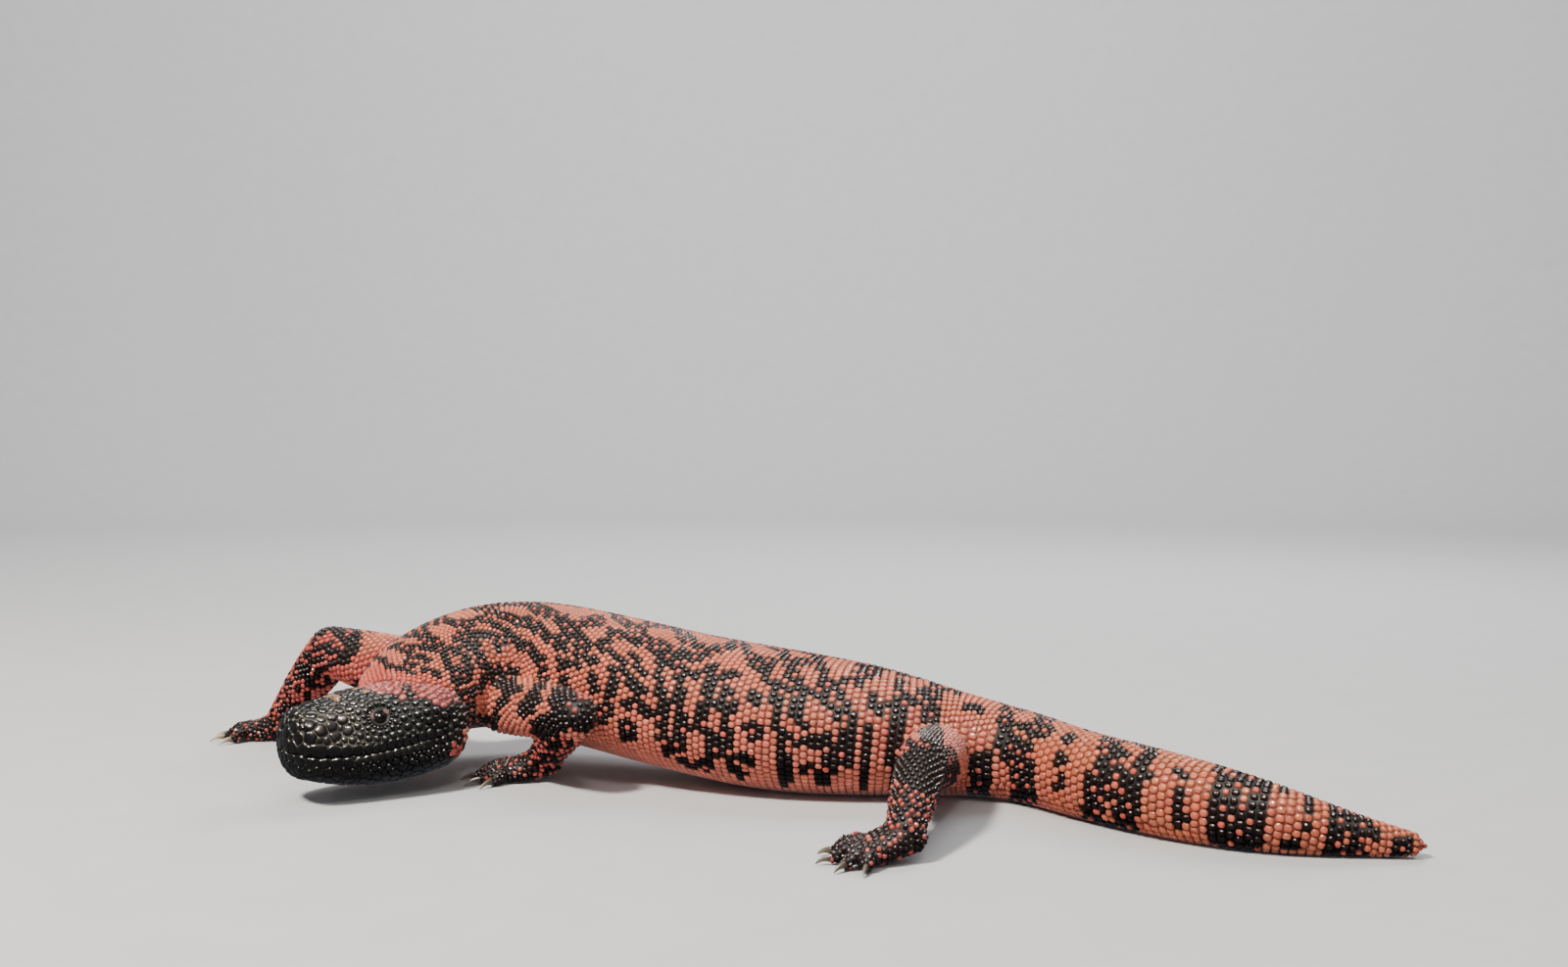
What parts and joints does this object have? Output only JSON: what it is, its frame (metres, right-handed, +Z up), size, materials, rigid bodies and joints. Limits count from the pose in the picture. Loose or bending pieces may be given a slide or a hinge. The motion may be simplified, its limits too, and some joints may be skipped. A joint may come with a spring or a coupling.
{
  "type": "gila monster lizard",
  "caption": "Gila monster, a heavy desert lizard with beaded pink and black skin, lying with its head turned and its thick tail bent, as a still life-size model.",
  "frame": {"origin": "on the floor, below the middle of the animal's overall length and width", "axes": "+Z up, +X towards the tail, the head at -X, the animal's left side towards -Y"},
  "size_m": [0.4568, 0.2336, 0.0654],
  "materials": {
    "pink_beads": "glossy beaded skin, pink with black markings",
    "black_scales": "glossy black shields and beads",
    "limb_beads": "glossy beaded skin, black and red",
    "horn": "smooth pale horn",
    "eye": "wet dark eye"
  },
  "bodies": {
    "root": {"belly": "pink_beads", "chest": "pink_beads", "claw_back_left_1": "horn", "claw_back_left_2": "horn", "claw_back_left_3": "horn", "claw_back_left_4": "horn", "claw_back_left_5": "horn", "claw_back_right_1": "horn", "claw_back_right_2": "horn", "claw_back_right_3": "horn", "claw_back_right_4": "horn", "claw_back_right_5": "horn", "claw_front_left_1": "horn", "claw_front_left_2": "horn", "claw_front_left_3": "horn", "claw_front_left_4": "horn", "claw_front_left_5": "horn", "claw_front_right_1": "horn", "claw_front_right_2": "horn", "claw_front_right_3": "horn", "claw_front_right_4": "horn", "claw_front_right_5": "horn", "eye_left": "eye", "eye_right": "eye", "foot_back_left": "limb_beads", "foot_back_right": "limb_beads", "forearm_front_left": "limb_beads", "forearm_front_right": "limb_beads", "hand_front_left": "limb_beads", "hand_front_right": "limb_beads", "head": "black_scales", "neck": "pink_beads", "pelvis": "pink_beads", "shin_back_left": "limb_beads", "shin_back_right": "limb_beads", "tail_base": "pink_beads", "tail_middle": "pink_beads", "tail_tip": "pink_beads", "thigh_back_left": "limb_beads", "thigh_back_right": "limb_beads", "upper_arm_front_left": "limb_beads", "upper_arm_front_right": "limb_beads"}
  },
  "joints": []
}
